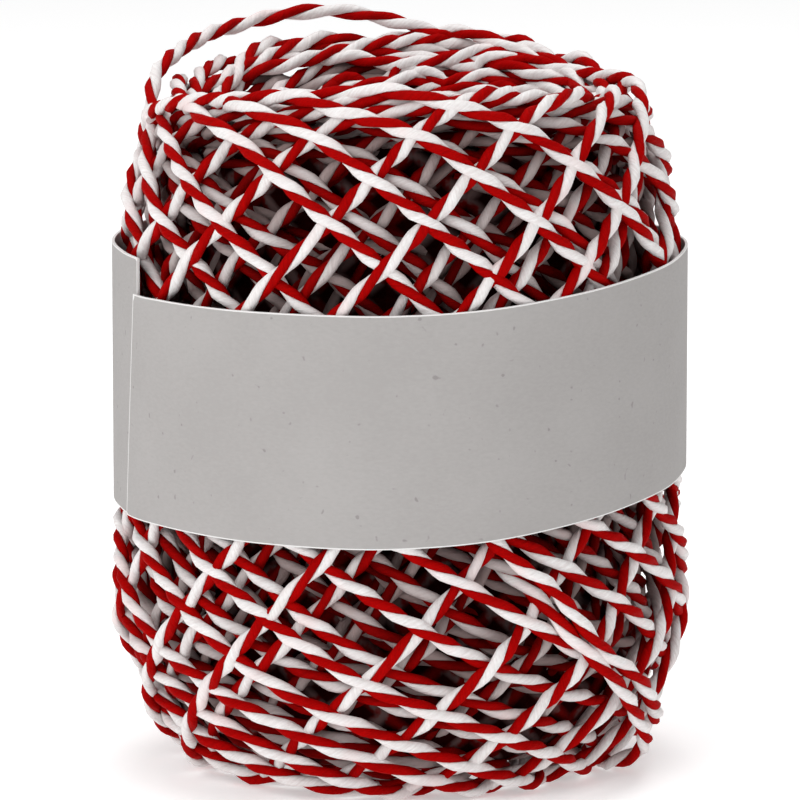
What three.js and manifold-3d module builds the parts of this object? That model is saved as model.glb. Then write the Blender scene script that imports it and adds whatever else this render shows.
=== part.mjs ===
// A coreless roll of two-ply paper cord, cross-wound into a barrel, with a plain paper band round its middle.
// Millimetres. The roll's axis is Z, it stands on z = 0, and its front looks along -Y.
import * as THREE from 'three';
import { mergeVertices } from 'three/addons/utils/BufferGeometryUtils.js';
import Module from 'manifold-3d';

const wasm = await Module();
wasm.setup();

// The cord, and how deep the wells between the main turns are: shallow at the rims, deep on the side.
const CORD_ACROSS = 1.8;
const WELL_DEPTH = 3.4;
const WELL_DEPTH_AT_RIMS = 1.1;
const WELL_EASE = 0.14;
const CROSSING_RAISE = 0.35;

// The wound form.
const CREST_HEIGHT = 74.4;
const CREST_RADIUS = 24.7;
const BASE_RADIUS = 20.8;
const BASE_INNER_RADIUS = 18.4;
const HOLE_RADIUS = 12.5;
const FUNNEL_DEPTH = 14;
const FUNNEL_TURNS = 4;
const FUNNEL_RELIEF = 0.8;
// The top rim dips at both sides, and more on the left.
const RIM_DIP = 3.0;
const RIM_DIP_TO_LEFT = 0.6;
const RIM_DIP_FROM_HEIGHT = 40;

// The winding: a turn climbs steeply, comes down slowly, and runs nearly level at both rims.
const MAIN_TURNS = 16;
const LINES_PER_TURN = 3;
const TURN_HALF_ANGLE = 3.4;
const CLIMB_ANGLE = 202.5;
const DESCENT_ANGLE = 337.5;
const LEVEL_AT_RIMS = 0.6;

// The paper band: one strip with its ends lapped on the left.
const BAND_OUTER_RADIUS = 29.9;
const BAND_THICKNESS = 1.0;
const PIECE_GAP = 0.3;
const BAND_START_ANGLE = 201.8;
const LAP_ANGLE = 4;
const LAP_BEND_ANGLE = 9;
const LAP_RISE = 0.6;
const LAP_SINK = PIECE_GAP + BAND_THICKNESS - LAP_RISE;
const BAND_STEPS = 96;

const WAIST_RADIUS = BAND_OUTER_RADIUS - BAND_THICKNESS - PIECE_GAP;
const WAIST_BOTTOM = 26;
const WAIST_TOP = 56;
const WAIST_SHOULDER = 1.6;

// The barrel's outline from the crest to the base, through the outermost turns.
const outline = [
  { name: 'crest', radius: CREST_RADIUS, height: CREST_HEIGHT },
  { name: 'top shoulder', radius: 27.0, height: 69.6 },
  { name: 'above the band', radius: 28.9, height: 61.0 },
  { name: 'middle', radius: 29.5, height: 42.0 },
  { name: 'below the band', radius: 29.9, height: 24.0 },
  { name: 'belly', radius: 30.1, height: 16.0 },
  { name: 'bottom shoulder', radius: 27.9, height: 8.0 },
  { name: 'bottom curve', radius: 24.6, height: 2.6 },
  { name: 'base', radius: BASE_RADIUS, height: 0 },
];

// An end of the roll from its rim to the hole: how far in from the rim, and how far below it.
const funnel = [
  { name: 'rim', inward: 0, below: 0 },
  { name: 'lip', inward: 0.3, below: 0.16 },
  { name: 'slope', inward: 0.65, below: 0.49 },
  { name: 'hole', inward: 1, below: 1 },
];

// The main turns, spread unevenly. The pattern comes twice in a turn of the roll.
const mainTurns = [
  { name: 'first', aside: 0, proud: 0.1 },
  { name: 'second', aside: -2.4, proud: 0 },
  { name: 'third', aside: 1.8, proud: 0.35 },
  { name: 'fourth', aside: -1.2, proud: 0.15 },
  { name: 'fifth', aside: 2.6, proud: 0 },
  { name: 'sixth', aside: 0.4, proud: 0.3 },
  { name: 'seventh', aside: -2.0, proud: 0.05 },
  { name: 'eighth', aside: 1.4, proud: 0.2 },
];

// A slack turn that stands clear of the rim at the back left. Both its ends run into the winding.
const slackTurn = [
  { name: 'out of the side', angle: 184, radius: 25.6, height: 67.6 },
  { name: 'up the side', angle: 176, radius: 25.9, height: 70.4 },
  { name: 'over the shoulder', angle: 167, radius: 25.3, height: 72.6 },
  { name: 'clear of the rim', angle: 147, radius: 25.0, height: 74.3 },
  { name: 'near the top', angle: 129, radius: 25.0, height: 75.3 },
  { name: 'top', angle: 113, radius: 25.0, height: 75.9 },
  { name: 'coming down', angle: 101, radius: 24.9, height: 75.5 },
  { name: 'back on the rim', angle: 89, radius: 24.6, height: 74.4 },
  { name: 'into the rim', angle: 74, radius: 24.2, height: 72.6 },
];
const SLACK_TURN_STEPS = 34;
const CORD_SIDES = 8;

// The band's edges round the roll: it is wrapped askew, climbs to the right and widens to its inner end.
const bandEdges = [
  { name: 'outer end', angle: BAND_START_ANGLE, bottom: 28.0, top: 51.4 },
  { name: 'front', angle: 262, bottom: 28.0, top: 51.9 },
  { name: 'right', angle: 352, bottom: 31.2, top: 54.5 },
  { name: 'inner end', angle: BAND_START_ANGLE + 360 + LAP_ANGLE, bottom: 27.9, top: 55.1 },
];
const bandEndAngle = bandEdges[bandEdges.length - 1].angle;

const radians = (angle) => THREE.MathUtils.degToRad(angle);
const { lerp, smoothstep } = THREE.MathUtils;

function polar(radius, angle, height) {
  return new THREE.Vector3(radius * Math.cos(radians(angle)), radius * Math.sin(radians(angle)), height);
}

// 1 inside the lap, falling to 0 where the strip has bent back to its own radius.
function lapShare(angle) {
  const lapMiddle = BAND_START_ANGLE + LAP_ANGLE / 2;
  const turned = THREE.MathUtils.euclideanModulo(angle - lapMiddle + 180, 360) - 180;
  return 1 - smoothstep(Math.abs(turned), LAP_ANGLE / 2, LAP_ANGLE / 2 + LAP_BEND_ANGLE);
}

// Under the band the turns are pressed in, deepest under its lap.
function pressedRadius(radius, height, angle) {
  const inside = smoothstep(height, WAIST_BOTTOM - WAIST_SHOULDER, WAIST_BOTTOM)
    * (1 - smoothstep(height, WAIST_TOP, WAIST_TOP + WAIST_SHOULDER));
  const waist = WAIST_RADIUS - LAP_SINK * lapShare(angle);
  return lerp(radius, Math.min(radius, waist), inside);
}

function dippedHeight(height, angle) {
  const side = Math.cos(radians(angle));
  const dip = side * side * (RIM_DIP - RIM_DIP_TO_LEFT * side);
  return height - dip * smoothstep(height, RIM_DIP_FROM_HEIGHT, CREST_HEIGHT);
}

// A line of the lattice: three to a main turn, its left foot, its ridge and its right foot.
function lineAt(index) {
  const turn = Math.floor(index / LINES_PER_TURN);
  const place = index - turn * LINES_PER_TURN - 1;
  const row = mainTurns[THREE.MathUtils.euclideanModulo(turn, mainTurns.length)];
  return {
    angle: turn * 360 / MAIN_TURNS + row.aside + place * TURN_HALF_ANGLE,
    ridge: place === 0,
    proud: place === 0 ? row.proud : 0,
  };
}

const LINES = MAIN_TURNS * LINES_PER_TURN;
const LEVELS = LINES * (CLIMB_ANGLE + DESCENT_ANGLE) / 360;
const outlineCurve = new THREE.SplineCurve(outline.map((row) => new THREE.Vector2(row.radius, row.height)));

// Where a descending line meets the climbing line that lies `level` lines further round.
function latticePoint(descending, level) {
  const down = lineAt(descending);
  const up = lineAt(descending + level);
  const share = THREE.MathUtils.clamp((up.angle - down.angle) / (CLIMB_ANGLE + DESCENT_ANGLE), 0, 1);
  const angle = down.angle + DESCENT_ANGLE * share;
  const along = lerp(share, (1 - Math.cos(Math.PI * share)) / 2, LEVEL_AT_RIMS);
  const place = outlineCurve.getPointAt(along);
  const tangent = outlineCurve.getTangentAt(along);
  const fromRim = Math.min(share, 1 - share);
  const well = lerp(WELL_DEPTH_AT_RIMS, WELL_DEPTH, smoothstep(fromRim, 0, WELL_EASE));
  const crossing = level > 0 && down.ridge && up.ridge ? CROSSING_RAISE : 0;
  const sunk = (down.ridge || up.ridge ? 0 : well) - Math.max(down.proud, up.proud) - crossing;
  const atBase = level === LEVELS ? 0 : 1;
  const radius = place.x + tangent.y * sunk * atBase;
  const height = Math.max(place.y - tangent.x * sunk * atBase, 0);
  return polar(pressedRadius(radius, height, angle), angle, dippedHeight(height, angle));
}

// One ring of an end's funnel, its turns as low ridges that run level round the hole.
function funnelRing(step, rimRadius, rimHeight, inward, angles) {
  const curve = new THREE.SplineCurve(funnel.map((row) => new THREE.Vector2(
    lerp(rimRadius, HOLE_RADIUS, row.inward),
    rimHeight + inward * row.below * FUNNEL_DEPTH,
  )));
  const along = step / (2 * FUNNEL_TURNS);
  const place = curve.getPointAt(along);
  const tangent = curve.getTangentAt(along);
  const sunk = step % 2 === 1 ? FUNNEL_RELIEF : 0;
  return angles.map((angle) => polar(
    place.x + inward * tangent.y * sunk,
    angle,
    dippedHeight(place.y - inward * tangent.x * sunk, angle),
  ));
}

// The shorter diagonal splits a four-sided face whose corners go round it outward side first.
function splitFace(points, a, b, c, d) {
  const throughA = points[a].distanceToSquared(points[c]);
  const throughB = points[b].distanceToSquared(points[d]);
  return throughA < throughB ? [a, b, c, a, c, d] : [a, b, d, b, c, d];
}

function solidGeometry(points, faces) {
  const geometry = new THREE.BufferGeometry();
  geometry.setAttribute('position', new THREE.Float32BufferAttribute(points.flatMap((p) => p.toArray()), 3));
  geometry.setIndex(faces);
  return geometry;
}

function windingGeometry() {
  const points = [];
  const faces = [];
  const around = (line) => THREE.MathUtils.euclideanModulo(line, LINES);
  const vertex = (line, level) => level * LINES + around(line);

  for (let level = 0; level <= LEVELS; level += 1) {
    for (let line = 0; line < LINES; line += 1) points.push(latticePoint(line, level));
  }
  for (let line = 0; line < LINES; line += 1) {
    faces.push(vertex(line, 0), vertex(line, 1), vertex(line + 1, 0));
    for (let level = 0; level <= LEVELS - 2; level += 1) {
      faces.push(...splitFace(points, vertex(line, level), vertex(line - 1, level + 1),
        vertex(line - 1, level + 2), vertex(line, level + 1)));
    }
    faces.push(vertex(line, LEVELS - 1), vertex(line - 1, LEVELS), vertex(line, LEVELS));
  }

  // From the crest in and down the hole, then out to the base. Below, the lines have gone on round.
  const topAngles = [];
  const baseAngles = [];
  const baseRing = [];
  const crestRing = [];
  for (let line = 0; line < LINES; line += 1) {
    const below = line - LINES * DESCENT_ANGLE / 360;
    crestRing.push(vertex(line, 0));
    baseRing.push(vertex(below, LEVELS));
    topAngles.push(lineAt(line).angle);
    baseAngles.push(lineAt(below).angle + DESCENT_ANGLE);
  }
  const rings = [crestRing];
  const addRing = (ringPoints) => {
    rings.push(ringPoints.map((point, index) => points.length + index));
    points.push(...ringPoints);
  };
  for (let step = 1; step <= 2 * FUNNEL_TURNS; step += 1) {
    addRing(funnelRing(step, CREST_RADIUS, CREST_HEIGHT, -1, topAngles));
  }
  for (let step = 2 * FUNNEL_TURNS; step >= 0; step -= 1) {
    addRing(funnelRing(step, BASE_INNER_RADIUS, 0, 1, baseAngles));
  }
  rings.push(baseRing);
  for (let ring = 0; ring + 1 < rings.length; ring += 1) {
    for (let line = 0; line < LINES; line += 1) {
      const next = around(line + 1);
      faces.push(...splitFace(points, rings[ring][line], rings[ring][next],
        rings[ring + 1][next], rings[ring + 1][line]));
    }
  }
  return solidGeometry(points, faces);
}

function slackTurnGeometry() {
  const path = new THREE.CatmullRomCurve3(slackTurn.map((row) => polar(row.radius, row.angle, row.height)));
  const section = new THREE.Shape(Array.from({ length: CORD_SIDES }, (_, side) => {
    const turn = (side + 0.5) * 2 * Math.PI / CORD_SIDES;
    return new THREE.Vector2(Math.cos(turn), Math.sin(turn)).multiplyScalar(CORD_ACROSS / 2);
  }));
  return new THREE.ExtrudeGeometry(section, { steps: SLACK_TURN_STEPS, extrudePath: path });
}

function asSolid(geometry) {
  const bare = geometry.clone();
  bare.deleteAttribute('normal');
  bare.deleteAttribute('uv');
  const merged = mergeVertices(bare);
  return new wasm.Manifold(new wasm.Mesh({
    numProp: 3,
    vertProperties: new Float32Array(merged.attributes.position.array),
    triVerts: new Uint32Array(merged.index.array),
  }));
}

function asGeometry(solid) {
  const mesh = solid.getMesh();
  const geometry = new THREE.BufferGeometry();
  geometry.setAttribute('position', new THREE.BufferAttribute(mesh.vertProperties, mesh.numProp));
  geometry.setIndex(new THREE.BufferAttribute(mesh.triVerts, 1));
  return geometry;
}

function woundCord() {
  return asGeometry(asSolid(windingGeometry()).add(asSolid(slackTurnGeometry())));
}

// A value from the band's edge table, eased between its rows.
function bandEdge(angle, column) {
  const above = Math.max(1, bandEdges.findIndex((row) => row.angle >= Math.min(angle, bandEndAngle)));
  const [from, to] = [bandEdges[above - 1], bandEdges[above]];
  return lerp(from[column], to[column], smoothstep(angle, from.angle, to.angle));
}

function paperBand() {
  const points = [];
  const faces = [];
  for (let step = 0; step <= BAND_STEPS; step += 1) {
    const angle = lerp(BAND_START_ANGLE, bandEndAngle, step / BAND_STEPS);
    const shift = lapShare(angle) * (step < BAND_STEPS / 2 ? LAP_RISE : -LAP_SINK);
    const outer = BAND_OUTER_RADIUS + shift;
    const inner = outer - BAND_THICKNESS;
    const [bottom, top] = [bandEdge(angle, 'bottom'), bandEdge(angle, 'top')];
    points.push(polar(outer, angle, bottom), polar(outer, angle, top));
    points.push(polar(inner, angle, top), polar(inner, angle, bottom));
  }
  const corners = points.length / (BAND_STEPS + 1);
  for (let step = 0; step < BAND_STEPS; step += 1) {
    const here = step * corners;
    for (let corner = 0; corner < corners; corner += 1) {
      const next = (corner + 1) % corners;
      faces.push(...splitFace(points, here + corner, here + corners + corner,
        here + corners + next, here + next));
    }
  }
  const end = BAND_STEPS * corners;
  faces.push(0, 1, 2, 0, 2, 3, end, end + 2, end + 1, end, end + 3, end + 2);
  return solidGeometry(points, faces);
}

function named(name, geometry, colour, roughness) {
  const mesh = new THREE.Mesh(geometry, new THREE.MeshStandardMaterial({
    color: colour,
    roughness,
    metalness: 0,
    flatShading: true,
  }));
  mesh.name = name;
  return mesh;
}

const roll = new THREE.Group();
roll.add(named('wound_cord', woundCord(), 0xc8605a, 0.8));
roll.add(named('paper_band', paperBand(), 0xc5c3c1, 0.75));

export default roll;
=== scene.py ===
# %% [markdown]
# # A roll of two-ply paper cord
#
# The object is a ball of paper string with no core. One red and one white paper ply are twisted into
# a cord, the cord is cross-wound into a barrel, and a strip of grey paper holds it round the middle.
# The script follows the maker: it winds the outer turns of the cord over what lies there already,
# twists two plies along them, and wraps the band. One closed body stands for the turns below.
# All lengths are in millimetres until a mesh is made.

import math

import bpy
import numpy as np
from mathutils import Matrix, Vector


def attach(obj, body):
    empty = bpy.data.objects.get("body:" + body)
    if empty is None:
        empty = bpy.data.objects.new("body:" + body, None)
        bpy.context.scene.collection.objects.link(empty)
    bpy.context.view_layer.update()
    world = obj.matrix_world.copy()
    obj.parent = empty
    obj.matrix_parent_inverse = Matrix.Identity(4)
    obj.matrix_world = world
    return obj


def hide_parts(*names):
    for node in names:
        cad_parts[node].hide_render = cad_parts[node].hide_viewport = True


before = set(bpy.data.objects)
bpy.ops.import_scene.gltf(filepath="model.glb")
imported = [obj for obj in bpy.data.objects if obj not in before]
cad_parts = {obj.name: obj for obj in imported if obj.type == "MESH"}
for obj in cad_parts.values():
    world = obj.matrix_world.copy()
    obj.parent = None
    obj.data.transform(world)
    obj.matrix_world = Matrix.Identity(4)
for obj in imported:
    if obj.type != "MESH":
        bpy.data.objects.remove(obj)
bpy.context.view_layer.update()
MM = 0.001

# %% [markdown]
# ## Camera
#
# The photograph looks slightly down on the roll from far away, so its sides stay parallel. A long
# lens at a distance gives the same look. The camera aims at the middle of the frame, so it needs
# no shift.

# %% Camera
CAMERA_DISTANCE = 0.8
CAMERA_ELEVATION = math.radians(10.3)
FRAME_WIDTH = 0.0835
AIM = Vector((0, 0, 0.038))

camera = bpy.data.objects.new("camera", bpy.data.cameras.new("camera"))
camera.data.sensor_width = 36
camera.data.lens = camera.data.sensor_width * CAMERA_DISTANCE / FRAME_WIDTH
away = Vector((0, -math.cos(CAMERA_ELEVATION), math.sin(CAMERA_ELEVATION)))
camera.location = AIM + away * CAMERA_DISTANCE
camera.rotation_euler = away.to_track_quat("Z", "Y").to_euler()
scene = bpy.context.scene
scene.collection.objects.link(camera)
scene.camera = camera
print("lens, mm:", round(camera.data.lens))

# %% [markdown]
# ## Studio
#
# White surroundings light the roll evenly, and large soft lamps in front and above give the plies
# their shape. The floor is a pale sheet, and the picture's tones stay as they come, because a film
# curve would dull the red.

# %% Studio
LAMPS = [
    # name, side in metres, watts, place
    ("front lamp", 0.7, 4.2, (-0.52, -0.62, 0.50)),
    ("right lamp", 0.5, 0.6, (0.70, -0.45, 0.35)),
    ("top lamp", 0.6, 3.6, (0.05, 0.10, 0.80)),
]
for name, side, watts, place in LAMPS:
    lamp = bpy.data.objects.new(name, bpy.data.lights.new(name, "AREA"))
    lamp.data.size, lamp.data.energy = side, watts
    lamp.location = place
    lamp.rotation_euler = (lamp.location - AIM).to_track_quat("Z", "Y").to_euler()
    scene.collection.objects.link(lamp)

WORLD_STRENGTH = 0.34
scene.world = bpy.data.worlds.new("studio")
scene.world.use_nodes = True
scene.world.node_tree.nodes["Background"].inputs["Color"].default_value = (1, 1, 1, 1)
scene.world.node_tree.nodes["Background"].inputs["Strength"].default_value = WORLD_STRENGTH
scene.view_settings.view_transform = "Standard"
print("lamps:", len(LAMPS))

# %% [markdown]
# ## The wound form
#
# Cut through on one side, the winding is a long oval round a spine: a funnel, the crest, the belly,
# the base and a second funnel. A place on it is given by its way down along that outline and its
# depth below it, towards the spine. The rows repeat the solid's own outline.

# %% The roll's outline and its spine
HOLE_RADIUS = 12.5
CREST_HEIGHT, BASE_EDGE_RADIUS = 74.4, 20.8
OUTLINE = np.array([
    # radius, height: up the top funnel, over the crest and the belly, and into the bottom funnel
    (HOLE_RADIUS, 60.4), (16.8, 67.5), (21.0, 72.3), (24.1, CREST_HEIGHT), (25.8, 72.8), (27.0, 69.6),
    (28.9, 61.0), (29.5, 42.0), (29.9, 24.0), (30.1, 16.0), (27.9, 8.0), (24.6, 2.6),
    (BASE_EDGE_RADIUS, 0.0), (18.4, 0.0), (16.6, 2.2), (14.6, 6.9), (HOLE_RADIUS, 14.0),
])
EDGE_STEPS, SPAN_STEPS = 400, 60         # points on the outline, and between two given points
SPINE_RADIUS, SPINE_LOW, SPINE_HIGH = 17.5, 17.0, 57.0
SPINE_SOFTNESS = 8                       # steps over which the way to the spine turns
RIM_DIP, RIM_DIP_TO_LEFT, RIM_DIP_FROM = 3.0, 0.6, 40.0


def smooth_row(points, steps=EDGE_STEPS):
    """A smooth curve through the points, as `steps` points that are evenly spaced, and its length."""
    padded = np.vstack([points[0], points, points[-1]])
    pieces = []
    for k in range(len(points) - 1):
        p0, p1, p2, p3 = padded[k:k + 4]
        t = np.linspace(0, 1, SPAN_STEPS)[:, None]
        pieces.append((2 * p1 + (p2 - p0) * t + (2 * p0 - 5 * p1 + 4 * p2 - p3) * t**2
                       + (3 * p1 - p0 - 3 * p2 + p3) * t**3) / 2)
    curve = np.vstack(pieces)
    run = np.concatenate([[0], np.cumsum(np.linalg.norm(np.diff(curve, axis=0), axis=1))])
    even = np.linspace(0, run[-1], steps)
    return np.stack([np.interp(even, run, column) for column in curve.T], 1), run[-1]


def smoothstep(value, low, high):
    """Eases from 0 at `low` to 1 at `high`."""
    t = np.clip((value - low) / (high - low), 0, 1)
    return t * t * (3 - 2 * t)


def gauss_smooth(values, sigma):
    """Smooths a row of numbers with a bell curve of `sigma` steps."""
    reach = max(1, int(3 * sigma))
    bell = np.exp(-0.5 * (np.arange(-reach, reach + 1) / sigma) ** 2)
    return np.convolve(np.pad(values, reach, mode="edge"), bell / bell.sum(), mode="valid")


edge, EDGE_LENGTH = smooth_row(OUTLINE)
edge_down = np.linspace(0, EDGE_LENGTH, len(edge))
spine = np.stack([np.full(len(edge), SPINE_RADIUS), np.clip(edge[:, 1], SPINE_LOW, SPINE_HIGH)], 1)
spine_way = np.stack([gauss_smooth(column, SPINE_SOFTNESS) for column in (edge - spine).T], 1)
room = np.linalg.norm(edge - spine, axis=1)
spine_way /= np.linalg.norm(spine_way, axis=1)[:, None]
CREST_DOWN = edge_down[edge[:, 1].argmax()]
BASE_DOWN = edge_down[np.abs(edge - (BASE_EDGE_RADIUS, 0)).sum(1).argmin()]
print("outline, mm:", round(EDGE_LENGTH, 1),
      "crest and base at", round(CREST_DOWN, 1), round(BASE_DOWN, 1))

# %% Places on and under the outline
CORD_RADIUS = 0.86


def by_down(table, down):
    """The table's value at a way down the outline."""
    return np.interp(down, edge_down, table)


def below_outline(down, depth):
    """Radius and height of the point that lies `depth` below the outline."""
    return (by_down(edge[:, 0], down) - by_down(spine_way[:, 0], down) * depth,
            by_down(edge[:, 1], down) - by_down(spine_way[:, 1], down) * depth)


def dipped(height, angle):
    """The top rim dips at both sides, and more on the left."""
    side = np.cos(angle)
    dip = side**2 * (RIM_DIP - RIM_DIP_TO_LEFT * side)
    return height - dip * smoothstep(height, RIM_DIP_FROM, CREST_HEIGHT)


print("room for turns at the funnel, side and base, mm:", room[[20, 200, -60]].round(1))

# %% [markdown]
# ## Winding the cord
#
# A ball winder turns the roll while its arm goes up and down: the cord climbs steeply, comes down
# more slowly, and turns back inside each funnel. Each stroke starts a little further round, so the
# turns build a net with deep diamond-shaped gaps. The positions follow from that rule with a small
# unevenness, and the heights from laying the taut cord over everything that is there already.

# %% The path of the cord
WINDING_SEED = 50
STROKES = 80
NET_LINES = 16                    # strokes until the net closes
NET_DRIFT = 3.2                   # degrees that the next net starts further round
STROKE_TURN = 540 + 180 / NET_LINES + NET_DRIFT / NET_LINES
OLDER_STROKES, OLDER_NUDGE = 44, -10.0   # the older net lies behind the gaps of the later one
UNEVEN_TURN, UNEVEN_DOWN = 1.5, 0.7   # degrees and millimetres
UNEVEN_TOP, UNEVEN_BASE = 1.3, 0.8    # millimetres that a bend lies off its place
AGE_CURVE = 0.8                       # the bends move to the rims faster at first
TURN_ROUNDING = 7.0               # degrees over which the cord turns back
TOP_TURN, BASE_TURN = (14.0, 2.5), (12.0, 6.0)   # how far beyond a rim, first and last stroke
TURN_STEP = 0.9                       # degrees from point to point
KNOTS_IN_STROKE, TOP_KNOT = 9, 3
DOWN_LIMIT = 0.5                      # millimetres kept from the outline's ends
random = np.random.default_rng(WINDING_SEED)


def stroke_knots(stroke):
    """Turning angle in degrees and way down in millimetres at the bends of one stroke."""
    age = (stroke / STROKES) ** AGE_CURVE
    top = TOP_TURN[0] + (TOP_TURN[1] - TOP_TURN[0]) * age + random.normal(0, UNEVEN_TOP)
    base = BASE_TURN[0] + (BASE_TURN[1] - BASE_TURN[0]) * age + random.normal(0, UNEVEN_BASE)
    rows = np.array([
        (0, BASE_DOWN + base), (28, BASE_DOWN - 1), (172, CREST_DOWN + 2), (222, CREST_DOWN - top),
        (262, CREST_DOWN - 0.5), (294, CREST_DOWN + 4), (374, CREST_DOWN + 38), (450, CREST_DOWN + 62),
        (524, BASE_DOWN - 1),
    ])
    rows[:, 0] += stroke * STROKE_TURN + random.normal(0, UNEVEN_TURN, len(rows))
    rows[:, 0] += OLDER_NUDGE * (stroke < OLDER_STROKES)
    rows[:, 1] += random.normal(0, UNEVEN_DOWN, len(rows))
    return rows


knots = np.concatenate([stroke_knots(stroke) for stroke in range(STROKES)])
turned = np.arange(knots[0, 0], knots[-1, 0], TURN_STEP)
path_down = gauss_smooth(np.interp(turned, *knots.T), TURN_ROUNDING / TURN_STEP)
path_down = np.clip(path_down, DOWN_LIMIT, EDGE_LENGTH - DOWN_LIMIT)
path_angle = np.radians(turned)
bends = [np.searchsorted(turned, knots[first::KNOTS_IN_STROKE, 0]) for first in (0, TOP_KNOT)]
chunks = np.sort(np.concatenate([*bends, [len(turned)]]))
print("strokes:", STROKES, "turns of the roll:", round(turned[-1] / 360))

# %% Laying a stroke over the turns below it
AROUND_CELLS, DOWN_CELLS = 720, 400
CONTACT = 0.62          # half the distance between the middles of two cords that cross
SHELL = 9.5             # about how thick the modelled turns are
STRANDS_ACROSS = np.array([-0.9, -0.55, -0.2, 0.2, 0.55, 0.9]) * CONTACT
LAY_ACROSS = np.linspace(-0.97, 0.97, 11) * CONTACT
SLIPS = np.array([-0.9, -0.6, -0.3, 0.0, 0.3, 0.6, 0.9])
SLIP_COST, SLIP_SOFTNESS, SLIP_FROM_END = 0.12, 9, 16   # the last two in points of the path
FUNNEL_HOLD = 0.15      # friction keeps a turn on the funnel's slope
SURFACE_SOFTNESS, LAID_SOFTNESS = 10, 2.0
JOIN = 6                # points that start at the height where the last stretch ended
DEPOSIT_STEP = 0.5      # points of the path from one deposit to the next

surface = np.zeros((AROUND_CELLS, DOWN_CELLS))  # how high the turns reach so far
down_middles = (np.arange(DOWN_CELLS) + 0.5) / DOWN_CELLS * EDGE_LENGTH


def cells(angle, down):
    """The surface's cells that hold the points."""
    return (np.floor(angle / (2 * np.pi) * AROUND_CELLS).astype(int) % AROUND_CELLS,
            np.clip((down / EDGE_LENGTH * DOWN_CELLS).astype(int), 0, DOWN_CELLS - 1))


def rest_height(angle, down, side_angle, side_down):
    """The lowest height at which the cord's middle can lie at each point of the path."""
    found = np.zeros(len(angle))
    for offset in STRANDS_ACROSS:
        reach = surface[cells(angle + offset * side_angle, down + offset * side_down)]
        found = np.maximum(found, reach + math.sqrt(CONTACT**2 - offset**2))
    return found


def pull_taut(distance, height, bend):
    """The taut cord over the points: straight between the highest ones, round the roll's curve."""
    gaps = np.diff(distance)
    slope = np.concatenate([[0], np.cumsum(bend[1:-1] * gaps[1:])])
    sag = np.concatenate([[0], np.cumsum(slope * gaps)])
    raised = height - sag
    hull = []
    for i in range(len(raised)):
        while len(hull) > 1:
            a, b = hull[-2], hull[-1]
            before = (raised[b] - raised[a]) * (distance[i] - distance[a])
            if before > (raised[i] - raised[a]) * (distance[b] - distance[a]):
                break
            hull.pop()
        hull.append(i)
    return np.interp(distance, distance[hull], raised[hull]) + sag


# %% Winding all the strokes
def lay(angle, down, start_height):
    """Slips a path into the grooves below it and lays it taut. Returns its path and heights."""
    base = np.interp(down, down_middles, gauss_smooth(surface.mean(0), SURFACE_SOFTNESS))
    radius, _ = below_outline(down, np.maximum(0, SHELL - base))
    ahead, below = np.gradient(angle) * radius, np.gradient(down)
    step = np.hypot(ahead, below)
    side_angle, side_down = -below / step / radius, ahead / step
    tries = np.array([rest_height(angle + s * side_angle, down + s * side_down, side_angle, side_down)
                      for s in SLIPS]) + SLIP_COST * np.abs(SLIPS)[:, None]
    from_end = np.minimum(np.arange(len(angle)), np.arange(len(angle))[::-1])
    slip = gauss_smooth(SLIPS[tries.argmin(0)], SLIP_SOFTNESS) * np.minimum(1, from_end / SLIP_FROM_END)
    angle, down = angle + slip * side_angle, down + slip * side_down
    support = rest_height(angle, down, side_angle, side_down)
    if start_height is not None:
        support[:JOIN] = start_height
    distance = np.concatenate([[0], np.cumsum(step[1:])])
    bend = (ahead / step) ** 2 / radius * np.maximum(by_down(spine_way[:, 0], down), FUNNEL_HOLD)
    height = base + pull_taut(distance, support - base, bend)
    return angle, down, gauss_smooth(height, LAID_SOFTNESS), side_angle, side_down


def deposit(*rows):
    """Adds the cord's own thickness to the surface."""
    fine = np.arange(0, len(rows[0]) - 1, DEPOSIT_STEP)
    angle, down, height, side_angle, side_down = (np.interp(fine, np.arange(len(r)), r) for r in rows)
    for offset in LAY_ACROSS:
        where = cells(angle + offset * side_angle, down + offset * side_down)
        np.maximum.at(surface, where, height + math.sqrt(CONTACT**2 - offset**2))


TAIL = 8  # points at a bend that are added once the next chunk has been laid
laid_rows, waiting, last_height = [], None, None
for first, last in zip(chunks, chunks[1:]):
    laid = lay(path_angle[first:last], path_down[first:last], last_height)
    if waiting is not None:
        deposit(*waiting)
    deposit(*(row[:-TAIL] for row in laid))
    waiting, last_height = [row[-TAIL:] for row in laid], laid[2][-1]
    laid_rows.append(laid[:3])
deposit(*waiting)
angle, down, height = (np.concatenate([rows[k] for rows in laid_rows]) for k in range(3))

PILE_SHARE, PILE_SOFTNESS = 80, 8   # the outline runs over this share in a hundred of the turns
envelope = gauss_smooth(np.percentile(surface, PILE_SHARE, axis=0) - CONTACT, PILE_SOFTNESS)
print("turns piled to, mm:", envelope[[20, 65, 120, 200, 280, 330, 360]].round(1))

# %% [markdown]
# ## From the layers to the roll
#
# The heights are turned into depths below the outline, so that the outermost turns make the roll's
# own shape. Under the band the turns are pressed against the paper, and at the base they lie flat.

# %% Places and outward directions of the cord's points
BAND_INNER_RADIUS = 29.6
PLY_SIZES = {
    # its line from the cord's middle, how far it reaches out and back from that line, half its width
    "red": (0.15, 0.68, 0.15, 0.52),
    "white": (0.15, 0.76, 0.16, 0.59),
}
CORD_REACH = 0.98        # a little more than the fuller ply, which swells in places
WAIST = BAND_INNER_RADIUS - CORD_REACH
UNDER_BAND = (25.5, 27.5), (55.5, 58.0)   # heights over which turns go in under the band
PROUD, PROUD_EASE = 0.5, 0.8   # how far a turn may stand out of the outline, and how softly it stops
OUTWARD_SOFTNESS = 6


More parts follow.
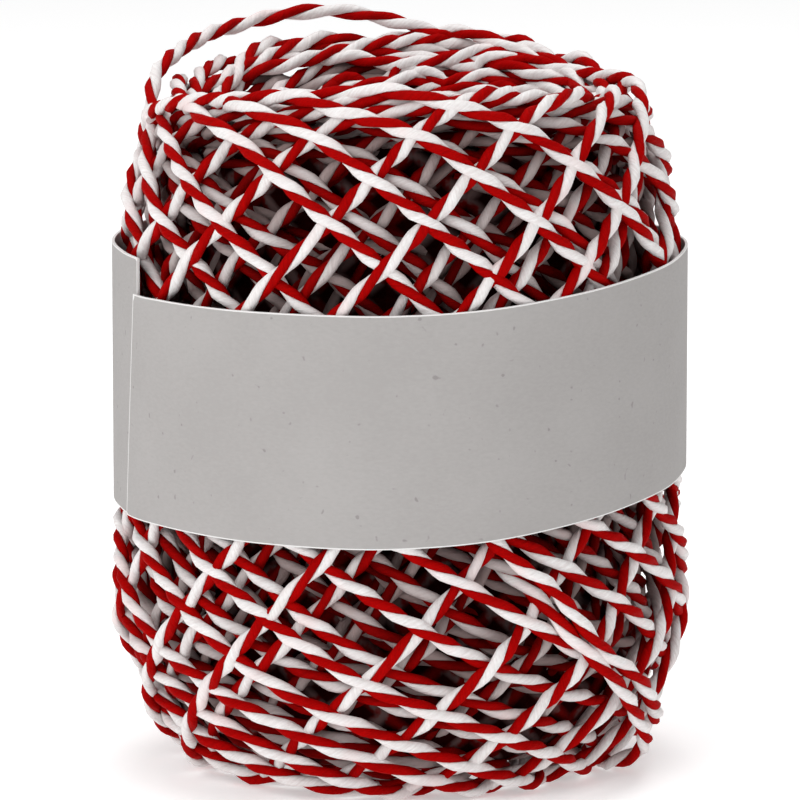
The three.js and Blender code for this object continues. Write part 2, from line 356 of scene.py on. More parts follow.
def on_roll(angle, down, depth):
    """The point in millimetres, pressed in under the band and flat at the base."""
    radius, height = below_outline(down, depth)
    height = dipped(height, angle)
    under_band = smoothstep(height, *UNDER_BAND[0]) * (1 - smoothstep(height, *UNDER_BAND[1]))
    radius = radius + under_band * (np.minimum(radius, WAIST) - radius)
    height = np.maximum(height, CORD_REACH)
    return np.stack([radius * np.cos(angle), radius * np.sin(angle), height], -1)


def outward_of(angle, down):
    """The direction straight out of the outline."""
    ahead = np.gradient(edge, axis=0)
    ahead = np.stack([gauss_smooth(column, OUTWARD_SOFTNESS) for column in ahead.T], 1)
    flat, up = by_down(-ahead[:, 1], down), by_down(ahead[:, 0], down)
    size = np.hypot(flat, up)
    return np.stack([flat / size * np.cos(angle), flat / size * np.sin(angle), up / size], -1)


depth = np.interp(down, down_middles, envelope) - height
stands_out = PROUD * (np.exp(np.minimum(depth, 0) / PROUD_EASE) - 1)
depth = np.where(depth < 0, stands_out, depth) + CORD_RADIUS
points = on_roll(angle, down, depth)
outward = outward_of(angle, down)
steps = np.linalg.norm(np.diff(points, axis=0), axis=1)
along = np.concatenate([[0], np.cumsum(steps)])
print("cord wound, m:", round(along[-1] / 1000, 1))

# %% [markdown]
# ## Which turns show
#
# Only the outer turns can be seen, and hardly any under the band. The cord is cut into the runs that
# show, with fewer faces the deeper they lie, and a plain body behind them stands for the rest.

# %% Runs of cord that show
SEEN_DEPTH, DEEPEST, SEEN_UNDER_BAND = 5.6, 8.0, 2.2
BAND_LOW, BAND_HIGH = 33.0, 49.5
SPINE_CLEARANCE = 0.5


def runs_of(keep, least=5):
    """First and last index of each unbroken run."""
    edges = np.flatnonzero(np.diff(np.concatenate([[0], keep.astype(int), [0]])))
    return [(a, b) for a, b in zip(edges[::2], edges[1::2]) if b - a >= least]


rise = points[:, 2]
covered = (rise > BAND_LOW) & (rise < BAND_HIGH)
inside_spine = depth > by_down(room, down) - SPINE_CLEARANCE
zones = {
    "upper": (depth < SEEN_DEPTH) & (rise >= BAND_HIGH) & ~inside_spine,
    "lower": (depth < SEEN_DEPTH) & (rise <= BAND_LOW) & ~inside_spine,
    "deep": (depth >= SEEN_DEPTH) & (depth < DEEPEST) & ~covered & ~inside_spine,
    "hidden": covered & (depth < SEEN_UNDER_BAND),
}
for name, keep in zones.items():
    print(name, "runs:", len(runs_of(keep)), "metres:", round(steps[keep[:-1]].sum() / 1000, 2))

# %% [markdown]
# ## Nodes by hand
#
# Both the shapes and the finishes are node trees. A small class lets a sum of sockets be written as
# a sum, and one method makes any other node.

# %% Sockets and trees
class Wire:
    """A node's output. Arithmetic on it adds Math nodes to its tree."""

    def __init__(self, tree, socket):
        self.tree, self.socket = tree, socket

    def math(self, operation, *values):
        return self.tree.made("ShaderNodeMath", {"operation": operation}, dict(enumerate(values)))

    def __add__(self, other): return self.math("ADD", self, other)
    def __radd__(self, other): return self.math("ADD", other, self)
    def __sub__(self, other): return self.math("SUBTRACT", self, other)
    def __rsub__(self, other): return self.math("SUBTRACT", other, self)
    def __mul__(self, other): return self.math("MULTIPLY", self, other)
    def __rmul__(self, other): return self.math("MULTIPLY", other, self)


class Tree:
    """A node tree under construction, of a material or of Geometry Nodes."""

    def __init__(self, tree):
        self.tree = tree

    def node(self, kind, settings=None, sockets=None):
        made = self.tree.nodes.new(kind)
        for name, value in (settings or {}).items():
            if name == "stops":
                for stop in value[2:]:
                    made.color_ramp.elements.new(stop[0])
                for element, (place, colour) in zip(made.color_ramp.elements, value):
                    element.position, element.color = place, colour
            else:
                setattr(made, name, value)
        for key, value in (sockets or {}).items():
            if isinstance(value, Wire):
                self.tree.links.new(value.socket, made.inputs[key])
            else:
                made.inputs[key].default_value = value
        return made

    def made(self, kind, settings=None, sockets=None, output=0):
        """The same, as the wire that leaves the node."""
        return Wire(self, self.node(kind, settings, sockets).outputs[output])

    def mix(self, factor, first, second):
        return self.made("ShaderNodeMix", {"data_type": "RGBA"}, {0: factor, 6: first, 7: second}, 2)

    def scaled(self, vector, by):
        return self.made("ShaderNodeVectorMath", {"operation": "MULTIPLY"}, {0: vector, 1: by})

    def noise(self, place, scale, detail, roughness=0.5):
        return self.made("ShaderNodeTexNoise", {}, {
            "Vector": place, "Scale": scale, "Detail": detail, "Roughness": roughness})

    def between(self, value, low, high):
        """0 up to `low`, 1 from `high`, and even between them."""
        stops = [(low, (0, 0, 0, 1)), (high, (1, 1, 1, 1))]
        return self.made("ShaderNodeValToRGB", {"stops": stops}, {"Fac": value})

    def bump(self, height, strength, distance):
        return self.made("ShaderNodeBump", {}, {
            "Strength": strength, "Distance": distance, "Height": height})

    def feed(self, shader, **wires):
        """Links wires to the shader's sockets, whose names are given with _ for a space."""
        for name, wire in wires.items():
            self.tree.links.new(wire.socket, shader.inputs[name.replace("_", " ")])


def finish_of(name, roughness, specular):
    """A new material with its tree and its shader, whose constants are set on its own sockets."""
    material = bpy.data.materials.new(name)
    material.use_nodes = True
    shader = material.node_tree.nodes["Principled BSDF"]
    shader.inputs["Roughness"].default_value = roughness
    shader.inputs["Specular IOR Level"].default_value = specular
    return material, Tree(material.node_tree), shader


print("node classes ready")

# %% [markdown]
# ## Twisted paper
#
# Each ply is a narrow strip of tissue paper, dyed or white, spun into a thread. Its creases run round
# it in a steep spiral, and it is matt with a faint shine; the creases are painted darker than the
# ridges, as painted shade. The spiral comes from an attribute that holds the angle round the ply and
# the length along it, so the creases and their painted shade follow the cord wherever it goes. White
# plies carry a little red from the dyed one, in random stains.

# %% Ply finishes
PLY_GLOSS = 0.02
CREASE_STRETCH, FOLD_STRETCH = (2.2, 2.2, 0.35), (0.9, 0.9, 0.9)   # round the ply, and along it
RIDGES_FROM_TO, STAINS_FROM_TO = (0.35, 0.70), (0.56, 0.72)
STAIN_SCALE = 160.0     # patches in a metre, more or less
# how strongly stains show, how strongly painted shade darkens the deepest turns, and the folds' share
# in the relief
STAIN_STRENGTH, WELL_SHADE_STRENGTH, FOLD_SHARE = 0.6, 0.85, 0.8
ROUGHNESS_RANGE = -0.12, 0.13


def ply_finish(name, clean, shaded, stained, shade_in_wells, roughness):
    """The paper of one ply: its colours on ridges, with painted shade in creases, in stains, and with
    painted shade deep in a well.
    """
    material, tree, shader = finish_of(name, roughness, PLY_GLOSS)
    lay = tree.made("ShaderNodeAttribute", {"attribute_name": "lay"}, output=1)
    place = tree.made("ShaderNodeTexCoord", output=3)
    creases = tree.noise(tree.scaled(lay, CREASE_STRETCH), 1.0, 4.0, 0.6)
    folds = tree.noise(tree.scaled(lay, FOLD_STRETCH), 1.0, 2.0)
    patches = tree.noise(place, STAIN_SCALE, 2.0)
    # painted shade: the crease noise mixes each ply towards a darker colour in its creases
    colour = tree.mix(tree.between(creases, *RIDGES_FROM_TO), shaded, clean)
    colour = tree.mix(tree.between(patches, *STAINS_FROM_TO) * STAIN_STRENGTH, colour, stained)
    # painted shade: the deeper a turn lies, the more its colour is darkened towards the colour deep in
    # a well
    sunken = tree.made("ShaderNodeAttribute", {"attribute_name": "sunken"}, output=2)
    colour = tree.mix(sunken * WELL_SHADE_STRENGTH, colour, shade_in_wells)
    relief = tree.bump(creases + FOLD_SHARE * folds, 0.5, 0.3 * MM)
    rough = roughness + ROUGHNESS_RANGE[0] + (ROUGHNESS_RANGE[1] - ROUGHNESS_RANGE[0]) * creases
    tree.feed(shader, Base_Color=colour, Normal=relief, Roughness=rough)
    return material


# each ply: its colour on ridges, painted shade in creases, its stains, and painted shade deep in a well
PLY_FINISHES = {
    "red": ply_finish(
        "red paper ply", (0.43, 0.001, 0.001, 1), (0.30, 0.0008, 0.0008, 1), (0.37, 0.0008, 0.0008, 1),
        (0.10, 0.0006, 0.0005, 1), 0.6),
    "white": ply_finish(
        "white paper ply", (0.92, 0.905, 0.90, 1), (0.78, 0.73, 0.72, 1), (0.88, 0.70, 0.69, 1),
        (0.22, 0.14, 0.13, 1), 0.65),
}
print("ply finishes:", list(PLY_FINISHES))

# %% [markdown]
# ## Twisting two plies along the cord
#
# A curve for each run carries how far the twist has turned, which way is out and which way is
# aside. Geometry Nodes move the curve off its line by the helix's radius and sweep a ply along it.
# Two plies that are twisted hard press each other flat, so each is half round: round outside, and
# flat where it meets the other in the cord's middle. That gives the long pointed spindles of colour.
# The second ply is the same tree, half a turn on.

# %% The twist tree
def twist_tree():
    """The node tree that sweeps one ply along the runs."""
    group = bpy.data.node_groups.new("two_ply_twist", "GeometryNodeTree")
    tree = Tree(group)
    for name, kind in (("Geometry", "NodeSocketGeometry"), ("Helix Radius", "NodeSocketFloat"),
                       ("Ply Depth", "NodeSocketFloat"), ("Ply Back", "NodeSocketFloat"),
                       ("Ply Width", "NodeSocketFloat"), ("Ply Turn", "NodeSocketFloat"),
                       ("Sides", "NodeSocketInt"), ("Finish", "NodeSocketMaterial")):
        group.interface.new_socket(name, in_out="INPUT", socket_type=kind)
    group.interface.new_socket("Geometry", in_out="OUTPUT", socket_type="NodeSocketGeometry")
    given = group.nodes.new("NodeGroupInput")
    run, helix, depth_out, depth_back, half_width, begin, sides, finish = (
        Wire(tree, socket) for socket in given.outputs[:8])

    def attribute(name, kind):
        return tree.made("GeometryNodeInputNamedAttribute", {"data_type": kind}, {"Name": name})

    def vectors(operation, sockets):
        return tree.made("ShaderNodeVectorMath", {"operation": operation}, sockets)

    turn = attribute("turn", "FLOAT") + begin
    parts = [vectors("SCALE", {0: attribute(name, "FLOAT_VECTOR"), "Scale": turn.math(curve, turn)})
             for name, curve in (("outward", "COSINE"), ("aside", "SINE"))]
    away = vectors("ADD", dict(enumerate(parts)))
    offset = vectors("SCALE", {0: away, "Scale": helix})
    line = tree.made("GeometryNodeMeshToCurve", {}, {"Mesh": run})
    turned = tree.made("GeometryNodeSetCurveNormal", {"mode": "FREE"}, {"Curve": line, "Normal": away})
    helixed = tree.made("GeometryNodeSetPosition", {}, {"Geometry": turned, "Offset": offset})
    ring = tree.made("GeometryNodeCurvePrimitiveCircle", {"mode": "RADIUS"},
                     {"Resolution": sides, "Radius": 1.0})
    spot = tree.node("ShaderNodeSeparateXYZ", {}, {"Vector": tree.made("GeometryNodeInputPosition")})
    spot_x, spot_y = (Wire(tree, socket) for socket in spot.outputs[:2])
    reach = (spot_x.math("MAXIMUM", spot_x, 0.0) * depth_out
             + spot_x.math("MINIMUM", spot_x, 0.0) * depth_back)
    pressed = tree.made("ShaderNodeCombineXYZ", {}, {"X": reach, "Y": spot_y * half_width})
    half_round = tree.made("GeometryNodeSetPosition", {}, {"Geometry": ring, "Position": pressed})
    section = tree.made(
        "GeometryNodeStoreNamedAttribute", {"data_type": "FLOAT", "domain": "POINT"},
        {"Geometry": half_round, "Name": "side", "Value": tree.made("GeometryNodeInputIndex")})
    tube = tree.made("GeometryNodeCurveToMesh", {}, {
        "Curve": helixed, "Profile Curve": section, "Scale": attribute("thick", "FLOAT"),
        "Fill Caps": True})
    smooth = tree.made("GeometryNodeSetShadeSmooth", {}, {"Geometry": tube})
    real = tree.made("GeometryNodeRealizeInstances", {}, {"Geometry": smooth})
    painted = tree.made("GeometryNodeSetMaterial", {}, {"Geometry": real, "Material": finish})
    tree.node("NodeGroupOutput", {}, {"Geometry": painted})
    return group


TWIST = twist_tree()
print("twist tree nodes:", len(TWIST.nodes))

# %% [markdown]
# ## The twist and the thickness along the cord
#
# The real twist isn't even: it runs from six to nine millimetres a turn. A slow wave on top of an
# even turn gives that, and another one lets the plies swell and thin a little.

# %% Twist and thickness by length
TWIST_PITCH = 7.5
TWIST_WANDER, TWIST_WAVES, TWIST_SEED = 0.6, (31, 47, 83), 7            # radians, millimetres
SWELLING, SWELLING_WAVES, SWELLING_SEEDS = 0.035, (5.3, 9.1, 17.0), {"red": 11, "white": 12}
CREASE_PITCH = 5.0


def wander(length, amount, waves, seed):
    """A slow random wave of the length along the cord."""
    draw = np.random.default_rng(seed)
    return sum(amount * np.sin(2 * np.pi * length / wave + draw.uniform(0, 2 * np.pi))
               for wave in waves)


def twist_at(length):
    """How far the twist has turned, in radians."""
    return -2 * np.pi * length / TWIST_PITCH + wander(length, TWIST_WANDER, TWIST_WAVES, TWIST_SEED)


def thick_at(length, colour):
    """How much a ply swells or thins."""
    return 1 + wander(length, SWELLING, SWELLING_WAVES, SWELLING_SEEDS[colour])


print("twist turns on the wound cord:", round(-twist_at(along[-1]) / 2 / np.pi))

# %% Making the plies of some runs
DEPTH_SHADE_FROM_TO = 1.1, 4.5   # depths between which painted shade darkens the cord
LEAST_POINTS = 3
SIZE_SOCKETS = "Helix Radius", "Ply Depth", "Ply Back", "Ply Width"   # in the order of PLY_SIZES


def cord_runs(zone, step):
    """The zone's runs as even points: place, outward, aside, length along the cord and painted shade by
    depth.
    """
    runs = []
    for first, last in runs_of(zone):
        run = slice(max(0, first - 1), min(len(along) - 1, last) + 1)
        begin, end = along[run][[0, -1]]
        lengths = np.linspace(begin, end, max(LEAST_POINTS, int((end - begin) / step) + 1))
        place, out_way = (np.stack([np.interp(lengths, along[run], column) for column in row[run].T], 1)
                          for row in (points, outward))
        # painted shade that grows with the turn's depth
        sunken = smoothstep(np.interp(lengths, along[run], depth[run]), *DEPTH_SHADE_FROM_TO)
        runs.append((*with_aside(place, out_way, lengths), sunken))
    return runs


def with_aside(place, out_way, lengths):
    """Squares the outward direction to the run and adds the direction to its side."""
    ahead = np.gradient(place, axis=0)
    ahead /= np.linalg.norm(ahead, axis=1)[:, None]
    out_way = out_way - ahead * (out_way * ahead).sum(1)[:, None]
    out_way /= np.linalg.norm(out_way, axis=1)[:, None]
    return place, out_way, np.cross(ahead, out_way), lengths


def set_attribute(mesh, name, values):
    """Stores a number or a vector for each point."""
    values = np.ascontiguousarray(values, np.float32)
    kind, field = ("FLOAT_VECTOR", "vector") if values.ndim == 2 else ("FLOAT", "value")
    mesh.attributes.new(name, kind, "POINT").data.foreach_set(field, values.ravel())


def get_floats(mesh, name):
    """Reads the number of each point."""
    values = np.empty(len(mesh.attributes[name].data), np.float32)
    mesh.attributes[name].data.foreach_get("value", values)
    return values


def plain_mesh(maker, name):
    """The evaluated object as a mesh of its own, in a new object."""
    evaluated = maker.evaluated_get(bpy.context.evaluated_depsgraph_get())
    mesh = bpy.data.meshes.new_from_object(evaluated)
    mesh.name = name
    piece = bpy.data.objects.new(name, mesh)
    scene.collection.objects.link(piece)
    bpy.data.objects.remove(maker)
    return piece


def ply_piece(name, colour, runs, sides, begin):
    """One ply along every run, as one piece."""
    place, out_way, aside, lengths, sunken = (np.concatenate(row) for row in zip(*runs))
    ends = np.cumsum([len(run[0]) for run in runs])
    links = np.setdiff1d(np.arange(len(lengths) - 1), ends[:-1] - 1)
    base = bpy.data.meshes.new(name + "_runs")
    base.from_pydata(place * MM, np.stack([links, links + 1], 1).tolist(), [])
    # the last attribute holds the painted shade by depth, for the finish
    for known, values in (("outward", out_way), ("aside", aside), ("turn", twist_at(lengths)),
                          ("thick", thick_at(lengths, colour)), ("length", lengths),
                          ("sunken", sunken)):
        set_attribute(base, known, values)
    maker = bpy.data.objects.new(name + "_maker", base)
    scene.collection.objects.link(maker)
    modifier = maker.modifiers.new("twist", "NODES")
    modifier.node_group = TWIST
    given = {item.name: item.identifier for item in TWIST.interface.items_tree
             if item.in_out == "INPUT"}
    for socket, measure in zip(SIZE_SOCKETS, PLY_SIZES[colour]):
        modifier[given[socket]] = measure * MM
    modifier[given["Ply Turn"]] = float(begin)
    modifier[given["Sides"]] = sides
    modifier[given["Finish"]] = PLY_FINISHES[colour]
    piece = plain_mesh(maker, name)
    mesh = piece.data
    around = get_floats(mesh, "side") * 2 * np.pi / sides
    run_length = get_floats(mesh, "length")
    spiral = around + 2 * np.pi * run_length / CREASE_PITCH
    set_attribute(mesh, "lay", np.stack([np.cos(spiral), np.sin(spiral), run_length], 1))
    for extra in ("side", "length", "turn", "thick", "outward", "aside"):
        if extra in mesh.attributes:
            mesh.attributes.remove(mesh.attributes[extra])
    print(name, "triangles:", sum(len(p.vertices) - 2 for p in mesh.polygons))
    return piece


# %% [markdown]
# ## Turns that stand clear
#
# At the back left one slack turn rises over the rim and comes down behind it. It follows the same
# points as the solid. At the lower right two late turns lie over all the others and one stands a
# little proud before it turns under. All their ends run into the winding.

# %% The slack turn and the late turns
LATE_TURNS = (np.array([
    # angle in degrees, radius, height
    (277, 28.1, 35.0), (283, 28.3, 31.8), (288, 28.6, 29.0), (293, 29.8, 26.4), (300.6, 30.9, 23.1),
    (311.2, 31.0, 16.7), (322.9, 30.6, 12.4), (331.5, 29.4, 9.3), (346, 27.2, 5.5), (360, 24.0, 2.6),
]), np.array([
    (285, 23.4, 28.0), (290, 25.0, 26.3), (295, 26.9, 24.2), (300, 28.8, 21.6), (305.6, 30.5, 17.8),
    (316.7, 30.6, 12.3), (330.5, 28.8, 6.2), (338.3, 27.2, 3.4), (341.8, 25.3, 1.7),
    (343, 22.6, 0.8), (345, 19.5, 1.3),
]))
SLACK_TURN = np.array([
    (184, 25.6, 67.6), (176, 25.9, 70.4), (167, 25.3, 72.6), (147, 25.0, 74.3), (129, 25.0, 75.3),
    (113, 25.0, 75.9), (101, 24.9, 75.5), (89, 24.6, 74.4), (74, 24.2, 72.6),
])


def single_run(rows, step, begin, sunken=0):
    """A run through the rows' points, whose twist starts at the length `begin`, with an even painted
    shade of the given strength.
    """
    turn = np.radians(rows[:, 0])
    knots = np.stack([rows[:, 1] * np.cos(turn), rows[:, 1] * np.sin(turn), rows[:, 2]], 1)
    _, length = smooth_row(knots)
    place, _ = smooth_row(knots, int(length / step) + 1)
    out_way = place * (1, 1, 0) / np.linalg.norm(place[:, :2], axis=1)[:, None]
    lengths = begin + np.linspace(0, length, len(place))
    return *with_aside(place, out_way, lengths), np.full(len(place), sunken)


# %% [markdown]
# Inside the hole the first turns show: they climb and descend along its wall, one layer on the other.

# %% Turns on the hole's wall
HOLE_SEED = 3
HOLE_LINES = 20
HOLE_CLIMB = 100.0      # degrees that a turn goes round between the funnels
HOLE_LAYERS = ((1, 13.4), (-1, 14.7))   # which way round it climbs, and its radius
HOLE_LOW, HOLE_HIGH = 7.5, 67.0
# how strongly painted shade darkens the turns inside the hole
HOLE_DEPTH_SHADE = 0.6
HOLE_KNOTS, HOLE_UNEVEN = 15, 2         # points on a turn, and degrees that it lies off its place
HOLE_TWIST_STEP = 100                   # millimetres of cord from one turn's twist to the next
FUNNEL_FLARE = (7.5, 13.5, 59.0, 67.0), (4.0, 0, 0, 5.6)   # heights, and how far the wall gives way
hole_random = np.random.default_rng(HOLE_SEED)


def hole_runs(step, begin):
    """The turns of both layers, which flare out with the funnels."""
    runs = []
    share = np.linspace(0, 1, HOLE_KNOTS)
    for way, radius in HOLE_LAYERS:
        starts = np.arange(HOLE_LINES) * 360 / HOLE_LINES
        for start in starts + hole_random.normal(0, HOLE_UNEVEN, HOLE_LINES):
            height = HOLE_LOW + (HOLE_HIGH - HOLE_LOW) * share
            flare = np.interp(height, *FUNNEL_FLARE)
            rows = np.stack([start + way * HOLE_CLIMB * share, radius + flare, height], 1)
            begin += HOLE_TWIST_STEP
            runs.append(single_run(rows, step, begin, HOLE_DEPTH_SHADE))
    return runs


# %% All plies
ZONE_FINENESS = (       # millimetres from point to point, and sides of a ply
    ("upper", 0.8, 10), ("lower", 0.8, 10), ("deep", 1.2, 6), ("hidden", 1.6, 5))
LATE_TWIST_START, LATE_TWIST_STEP = 61, 200   # millimetres of cord beyond the wound ones

ply_pieces = []
for zone, step, sides in ZONE_FINENESS:
    runs = cord_runs(zones[zone], step)
    if zone == "upper":
        runs.append(single_run(SLACK_TURN, step, along[-1]))
    if zone == "lower":
        runs += [single_run(rows, step, along[-1] + LATE_TWIST_STEP * k + LATE_TWIST_START)
                 for k, rows in enumerate(LATE_TURNS)]
    if zone == "deep":
        runs += hole_runs(step, along[-1])
    for colour, begin in (("red", 0), ("white", math.pi)):
        ply_pieces.append(ply_piece(f"{colour}_ply_{zone}", colour, runs, sides, begin))

# %% [markdown]
# ## The turns behind the net
#
# Behind the visible turns lies the rest of the cord. One closed body stands for it, a few
# millimetres inside the net, so that no light comes through the gaps.

# %% Inner turns
INNER_DEPTH, INNER_HOLE_DEPTH, INNER_AROUND, INNER_STEPS = 6.9, 2.6, 144, 90
INNER_BASE_DEPTH, INNER_BASE_NEAR = 3.4, (9.0, 20.0)   # nearer by the base, where the floor shines in
INNER_HOLE_SLOPE = 0.6  # how fast it sinks away from the hole's wall


def corner(ring, step, rings, size):
    """The number of a point on one of the rings, where both counts go round."""
    return ring % rings * size + step % size


loop_down = np.linspace(0, EDGE_LENGTH, INNER_STEPS)
from_hole = np.minimum(loop_down, EDGE_LENGTH - loop_down)
loop_depth = np.minimum(INNER_DEPTH, INNER_HOLE_DEPTH + from_hole * INNER_HOLE_SLOPE)
at_base = 1 - smoothstep(np.abs(loop_down - BASE_DOWN), *INNER_BASE_NEAR)
loop_depth = loop_depth + at_base * (np.minimum(loop_depth, INNER_BASE_DEPTH) - loop_depth)
loop_radius, loop_height = below_outline(loop_down, loop_depth)
turns = np.linspace(0, 2 * np.pi, INNER_AROUND, endpoint=False)
rings = np.concatenate([
    np.stack([loop_radius * np.cos(a), loop_radius * np.sin(a), dipped(loop_height, a)], 1)
    for a in turns])
faces = [tuple(corner(ring, step, INNER_AROUND, INNER_STEPS)
               for ring, step in ((a, k), (a, k + 1), (a + 1, k + 1), (a + 1, k)))
         for a in range(INNER_AROUND) for k in range(INNER_STEPS)]
inner_mesh = bpy.data.meshes.new("inner_turns")
inner_mesh.from_pydata((rings * MM).tolist(), [], faces)
inner_mesh.polygons.foreach_set("use_smooth", [True] * len(faces))
inner_turns = bpy.data.objects.new("inner_turns", inner_mesh)
scene.collection.objects.link(inner_turns)
print("inner turns faces:", len(faces))

# %% [markdown]
# The turns down there lie in shadow, and their finish is painted shade. What can be made out is a net
# of dark red and grey lines in two directions, which are the red and white plies darkened, with
# near-black painted shade between them. So the finish draws the two directions over each other, and
# breaks them up.

# %% Finish of the inner turns
INNER_LINES, INNER_LINE_GAP = 26, 5.0     # strands round the roll, and millimetres between them
# painted shade: the red and white plies darkened, and near black in the gaps between the strands
INNER_SHADED_RED, INNER_SHADED_WHITE = (0.11, 0.0012, 0.0010, 1), (0.10, 0.062, 0.060, 1)
INNER_GAP_SHADE = (0.014, 0.0004, 0.0004, 1)
INNER_BLOTS = 420.0                       # in a metre, more or less
STRANDS_FROM_TO, GREY_FROM_TO = (0.35, 0.95), (0.47, 0.56)
STRAND_SHARE, BLOT_SHARE = 0.8, 0.4

inner_finish, tree, shader = finish_of("shadowed turns", 0.85, PLY_GLOSS)
place = tree.made("ShaderNodeTexCoord", output=3)
blots = tree.noise(place, INNER_BLOTS, 3.0)
spot = tree.node("ShaderNodeSeparateXYZ", {}, {"Vector": place})
spot_x, spot_y, spot_z = (Wire(tree, socket) for socket in spot.outputs)
round_it = spot_y.math("ARCTAN2", spot_y, spot_x) * INNER_LINES
climb = spot_z * (2 * math.pi / (INNER_LINE_GAP * MM))
climbing, descending = round_it + climb, round_it - climb
nearer = climb.math("MAXIMUM", climb.math("SINE", climbing), climb.math("SINE", descending))
strand = tree.between(nearer * STRAND_SHARE + blots * BLOT_SHARE, *STRANDS_FROM_TO)
twisted = tree.between(blots, *GREY_FROM_TO)
# painted shade: near black between the strands, and the darkened plies on them
colour = tree.mix(strand, INNER_GAP_SHADE, tree.mix(twisted, INNER_SHADED_RED, INNER_SHADED_WHITE))
hollows = tree.bump(nearer + blots, 0.8, 0.8 * MM)
tree.feed(shader, Base_Color=colour, Normal=hollows, Roughness=0.75 + 0.2 * blots)
inner_mesh.materials.append(inner_finish)
print("inner finish nodes:", len(tree.tree.nodes))

# %% [markdown]
# ## The paper band
#
# A strip of grey paper goes once round the middle. It is wrapped a little askew, so it climbs to the
# right and its outer end leans. The ends overlap on the left by some two millimetres, where the wider
# inner end stands up behind the outer one. The paper is thin, and a painted highlight makes its cut
# edges pale. The strip follows the same rows as the solid.

# %% Band shape
BAND_OUTER_RADIUS = 29.9
PAPER = 0.28
BAND_START, LAP, LAP_BEND = 201.8, 4.0, 9.0
LAP_RISE, LAP_TUCK = 0.4, -0.02   # how far the outer end stands off, and the inner one lies in
BAND_EDGES = np.array([
    # angle in degrees, bottom, top
    (201.8, 28.0, 51.4), (262, 28.0, 51.9), (352, 31.2, 54.5), (565.8, 27.9, 55.1),
])
BAND_AROUND = 360
BAND_ROWS = np.array([0, 0.007, 0.03, 0.2, 0.4, 0.6, 0.8, 0.97, 0.993, 1])   # shares of its width
WAVINESS, WAVES = 0.06, ((9, 0), (14, 40))   # the paper isn't quite flat: waves round it, and start
END_LEAN, LEAN_FADE = (-0.4, 3.7), 14.0   # degrees that the outer end leans, at its bottom and top

band_angle = np.linspace(BAND_START, BAND_EDGES[-1, 0], BAND_AROUND)
bottom, top = (BAND_EDGES[0, column] + sum(
    (after[column] - before[column]) * smoothstep(band_angle, before[0], after[0])
    for before, after in zip(BAND_EDGES, BAND_EDGES[1:])) for column in (1, 2))
off_lap = np.abs((band_angle - BAND_START - LAP / 2 + 180) % 360 - 180)
in_lap = 1 - smoothstep(off_lap, LAP / 2, LAP / 2 + LAP_BEND)
lift = np.where(np.arange(BAND_AROUND) < BAND_AROUND / 2, LAP_RISE, LAP_TUCK) * in_lap
lift += WAVINESS * (1 - in_lap) * sum(
    np.sin(np.radians(band_angle * waves + start)) for waves, start in WAVES)
band_length = np.radians(band_angle[-1] - BAND_START) * (BAND_OUTER_RADIUS - PAPER / 2)
band_area = np.mean(top - bottom) * band_length
print("band, mm:", round(band_length, 1), "by", round(np.mean(top - bottom), 1))

# %% Band mesh
share = BAND_ROWS
fade = 1 - smoothstep(band_angle, BAND_START, BAND_START + LEAN_FADE)[:, None]
lean = END_LEAN[0] + (END_LEAN[1] - END_LEAN[0]) * share
around = np.radians(band_angle[:, None] + fade * lean)
height = bottom[:, None] + (top - bottom)[:, None] * share
loops = []
for layer_radius, order in ((BAND_OUTER_RADIUS, 1), (BAND_OUTER_RADIUS - PAPER, -1)):
    radius = layer_radius + lift[:, None]
    loop = np.stack([radius * np.cos(around), radius * np.sin(around), height], 2)
    loops.append(loop[:, ::order])
band_points = np.concatenate(loops, 1)
count = band_points.shape[1]
faces = [tuple(corner(ring, step, BAND_AROUND, count)
               for ring, step in ((a, k), (a + 1, k), (a + 1, k + 1), (a, k + 1)))
         for a in range(BAND_AROUND - 1) for k in range(count)]
last_ring = range(BAND_AROUND * count - 1, (BAND_AROUND - 1) * count - 1, -1)
faces += [tuple(range(count)), tuple(last_ring)]
band_mesh = bpy.data.meshes.new("grey_band")
band_mesh.from_pydata((band_points.reshape(-1, 3) * MM).tolist(), [], faces)
from_cut = np.minimum(share, 1 - share) * np.mean(top - bottom)
from_end = np.minimum(band_angle - BAND_START, band_angle[-1] - band_angle)
from_end = from_end * np.radians(BAND_OUTER_RADIUS)
to_edge = np.minimum(np.concatenate([from_cut, from_cut[::-1]])[None], from_end[:, None])
set_attribute(band_mesh, "to_edge", to_edge.ravel())
band = bpy.data.objects.new("grey_band", band_mesh)
scene.collection.objects.link(band)
print("band faces:", len(faces))

# %% [markdown]
# The paper is an even light grey with fine fibres, a soft cloudiness and hardly a fleck. It is matt,
# and shows faint dents where it lies over the turns. Along its cut edges a painted highlight makes it
# nearly white.

# %% Band finish
GREY, GREY_CLOUD = (0.415, 0.398, 0.39, 1), (0.385, 0.368, 0.36, 1)
FLECK, CUT_HIGHLIGHT = (0.17, 0.15, 0.15, 1), (0.80, 0.79, 0.78, 1)
CUT_WIDTH = 0.13        # millimetres of painted highlight along a cut edge
FIBRES, FLECKS, DENTS, CLOUDS = 1700.0, 1500.0, 130.0, 90.0   # in a metre, more or less
CLOUDY_FROM_TO, FLECKS_FROM_TO = (0.38, 0.62), (0.80, 0.86)
CLOUD_SHARE, FLECK_STRENGTH, FIBRE_RELIEF = 0.5, 0.45, 0.25

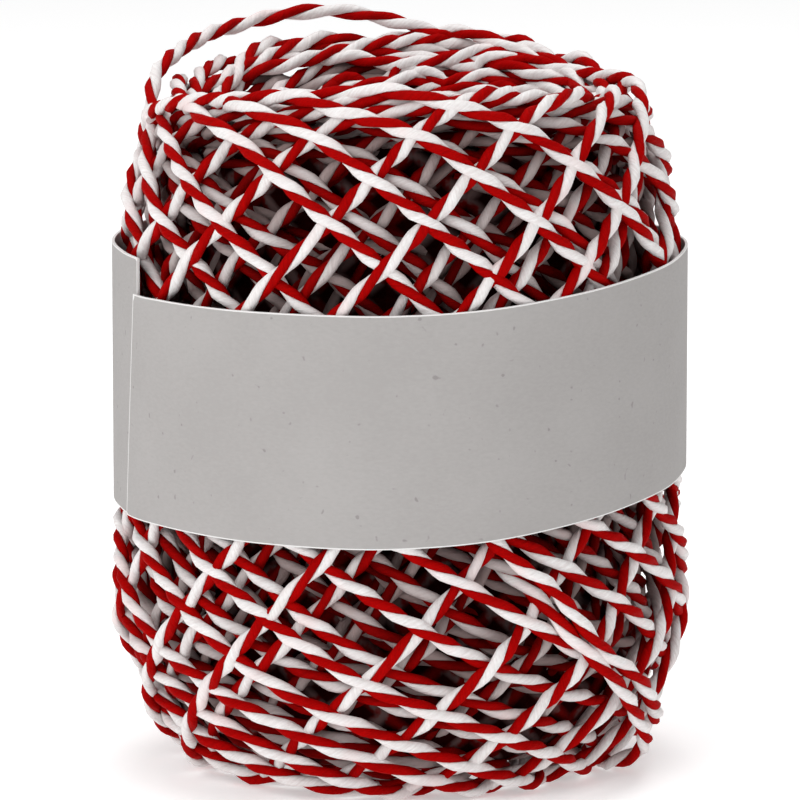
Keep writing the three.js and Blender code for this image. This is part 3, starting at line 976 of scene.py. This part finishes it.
paper, tree, shader = finish_of("grey paper", 0.8, 0.2)
place = tree.made("ShaderNodeTexCoord", output=3)
fibres = tree.noise(tree.scaled(place, (1, 1, 2.2)), FIBRES, 5.0)
clouds = tree.noise(place, CLOUDS, 3.0)
flecks = tree.noise(place, FLECKS, 0.0)
dents = tree.noise(place, DENTS, 1.0)
cloudy = tree.between(clouds * CLOUD_SHARE + fibres * (1 - CLOUD_SHARE), *CLOUDY_FROM_TO)
flecked = tree.between(flecks, *FLECKS_FROM_TO)
edge_near = tree.made("ShaderNodeAttribute", {"attribute_name": "to_edge"}, output=2)
at_cut = tree.made("ShaderNodeMath", {"operation": "LESS_THAN"}, {0: edge_near, 1: CUT_WIDTH})
colour = tree.mix(cloudy, GREY, GREY_CLOUD)
colour = tree.mix(flecked * FLECK_STRENGTH, colour, FLECK)
# painted highlight along the cut edges
colour = tree.mix(at_cut, colour, CUT_HIGHLIGHT)
relief = tree.bump(fibres * FIBRE_RELIEF + dents, 0.35, 0.2 * MM)
tree.feed(shader, Base_Color=colour, Normal=relief, Roughness=0.72 + 0.16 * fibres)
band_mesh.materials.append(paper)
print("band finish nodes:", len(tree.tree.nodes))

# %% [markdown]
# ## Floor and frame
#
# The floor is plain and pale, and glows a little, so that it runs into the white behind it. Every piece
# rides on the one body, and the solids that the pieces replace are hidden.

# %% Floor, riding and finish
FLOOR_REACH, FLOOR_GLOW = 3, 0.36   # metres each way, and its light

floor_mesh = bpy.data.meshes.new("floor")
floor_mesh.from_pydata([(x * FLOOR_REACH, y * FLOOR_REACH, 0)
                        for x, y in ((-1, -1), (1, -1), (1, 1), (-1, 1))], [], [(0, 1, 2, 3)])
floor = bpy.data.objects.new("floor", floor_mesh)
scene.collection.objects.link(floor)
floor_finish, _, floor_shader = finish_of("pale floor", 0.9, 0.1)
floor_shader.inputs["Base Color"].default_value = (0.93, 0.93, 0.93, 1)
floor_shader.inputs["Emission Color"].default_value = (1, 1, 1, 1)
floor_shader.inputs["Emission Strength"].default_value = FLOOR_GLOW
floor_mesh.materials.append(floor_finish)

for piece in [*ply_pieces, inner_turns]:
    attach(piece, "root")
    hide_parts("wound_cord")
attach(band, "root")
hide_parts("paper_band")
np.max(top - bottom) * MM
